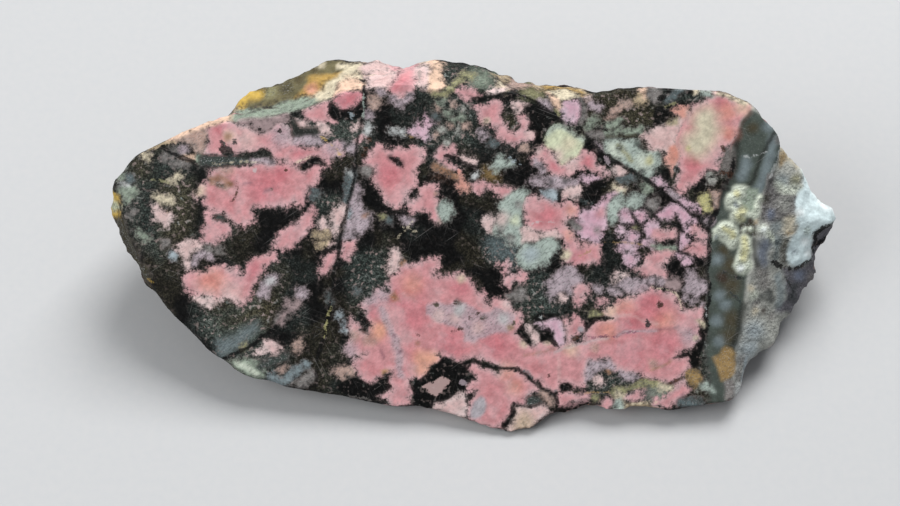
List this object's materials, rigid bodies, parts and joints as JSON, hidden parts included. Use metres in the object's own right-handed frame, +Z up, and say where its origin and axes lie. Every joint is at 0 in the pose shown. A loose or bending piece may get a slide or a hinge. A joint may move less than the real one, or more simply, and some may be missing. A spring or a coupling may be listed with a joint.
{
  "type": "rough rhodonite specimen",
  "caption": "Hand-sized lump of rough rhodonite with a sawn face that shows pink mineral broken up by black oxide veins, and rough weathered rock all round.",
  "frame": {"origin": "On the surface that the stone lies on, under the middle of its bounding box.", "axes": "X runs along the stone's length, with the chalcedony end at +X. The sawn face leans back 56 degrees from upright and looks towards -Y and +Z. Z is up."},
  "size_m": [0.1322, 0.0668, 0.0357],
  "materials": {
    "stone": "semi-matte sawn face, matt broken rock"
  },
  "bodies": {
    "root": {"rhodonite_stone": "stone"}
  },
  "joints": []
}
